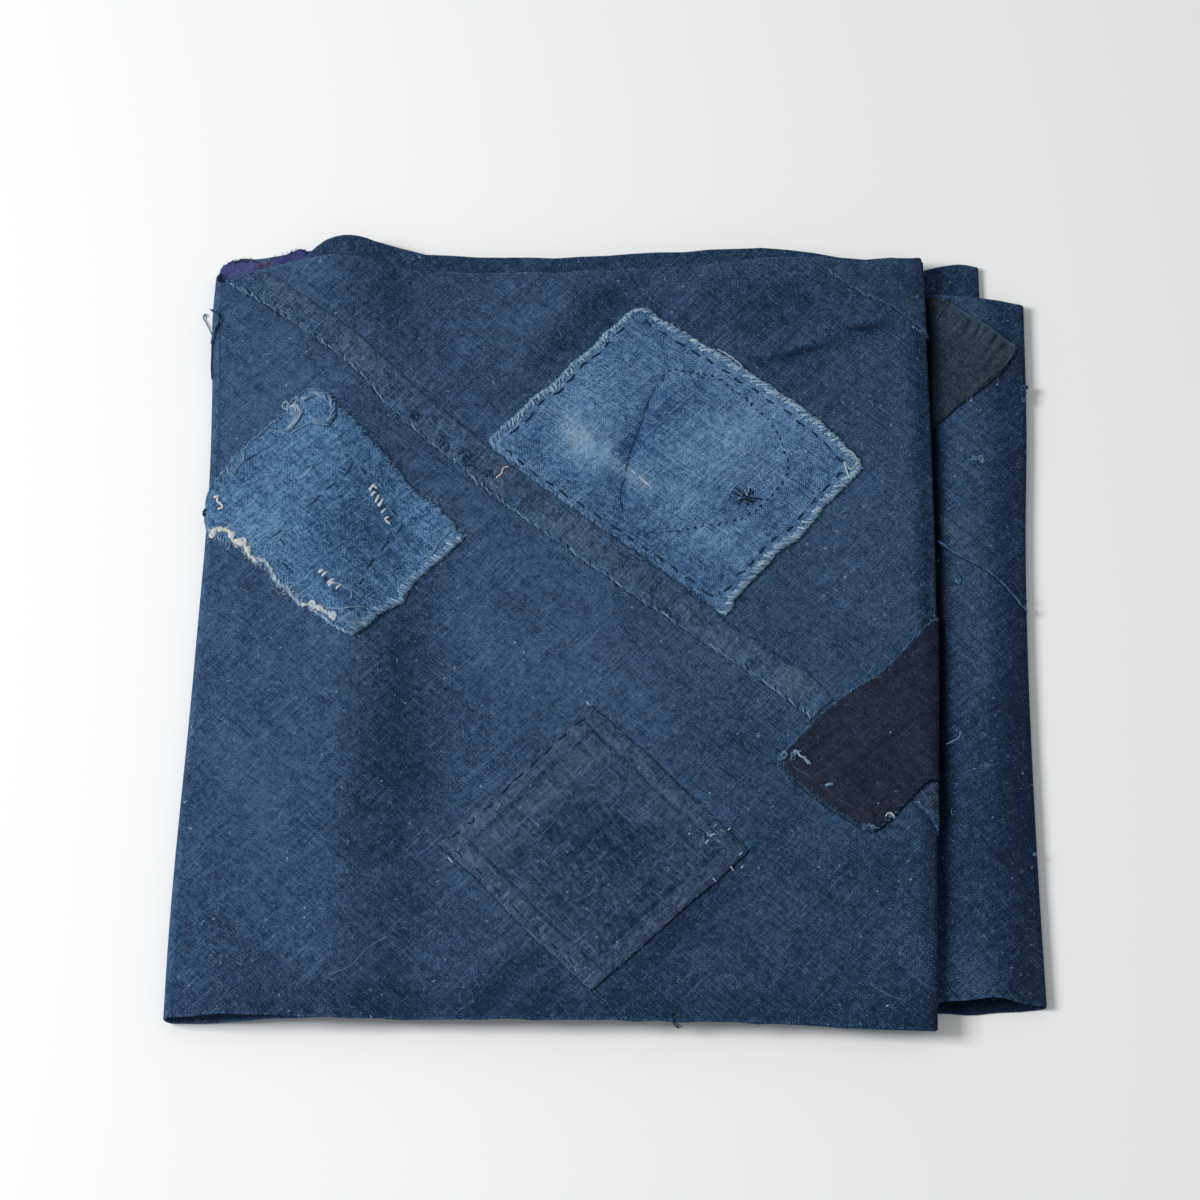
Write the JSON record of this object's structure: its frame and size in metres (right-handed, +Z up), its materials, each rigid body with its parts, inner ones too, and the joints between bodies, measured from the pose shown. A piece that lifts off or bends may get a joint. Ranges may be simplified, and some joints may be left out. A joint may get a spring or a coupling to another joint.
{
  "type": "folded patched cloth",
  "caption": "Indigo cloth folded back and forth into a flat packet, with a sewn seam strip and faded, frayed and dark patches.",
  "frame": {"origin": "centre of the packet's bounding box, on the surface that it rests on", "axes": "+Z up, away from the surface; +Y towards the back edge, away from the viewer of the picture; +X to the right, along the way the sheet is folded back and forth"},
  "size_m": [0.3966, 0.3982, 0.0168],
  "materials": {
    "cloth": "worn indigo plain weave with pale flecks",
    "strip": "indigo cotton worn to a grey brown bloom",
    "panel": "grey indigo plain weave",
    "frayed": "light blue slub weave with a frayed edge",
    "faded": "bleached pale blue weave, whip-stitched",
    "hemmed": "slubby grey indigo with turned hems",
    "dark": "violet black fine weave",
    "olive": "pleated dark green weave, brown at the fold",
    "purple": "purple weave with a frayed edge"
  },
  "bodies": {
    "root": {"folded_cloth": "cloth", "seam_strip": "strip", "seam_strip_end": "strip", "corner_panel": "panel", "patch_frayed": "frayed", "patch_faded": "faded", "patch_hemmed": "hemmed", "patch_dark": "dark", "patch_olive": "olive", "patch_purple": "purple"}
  },
  "joints": []
}
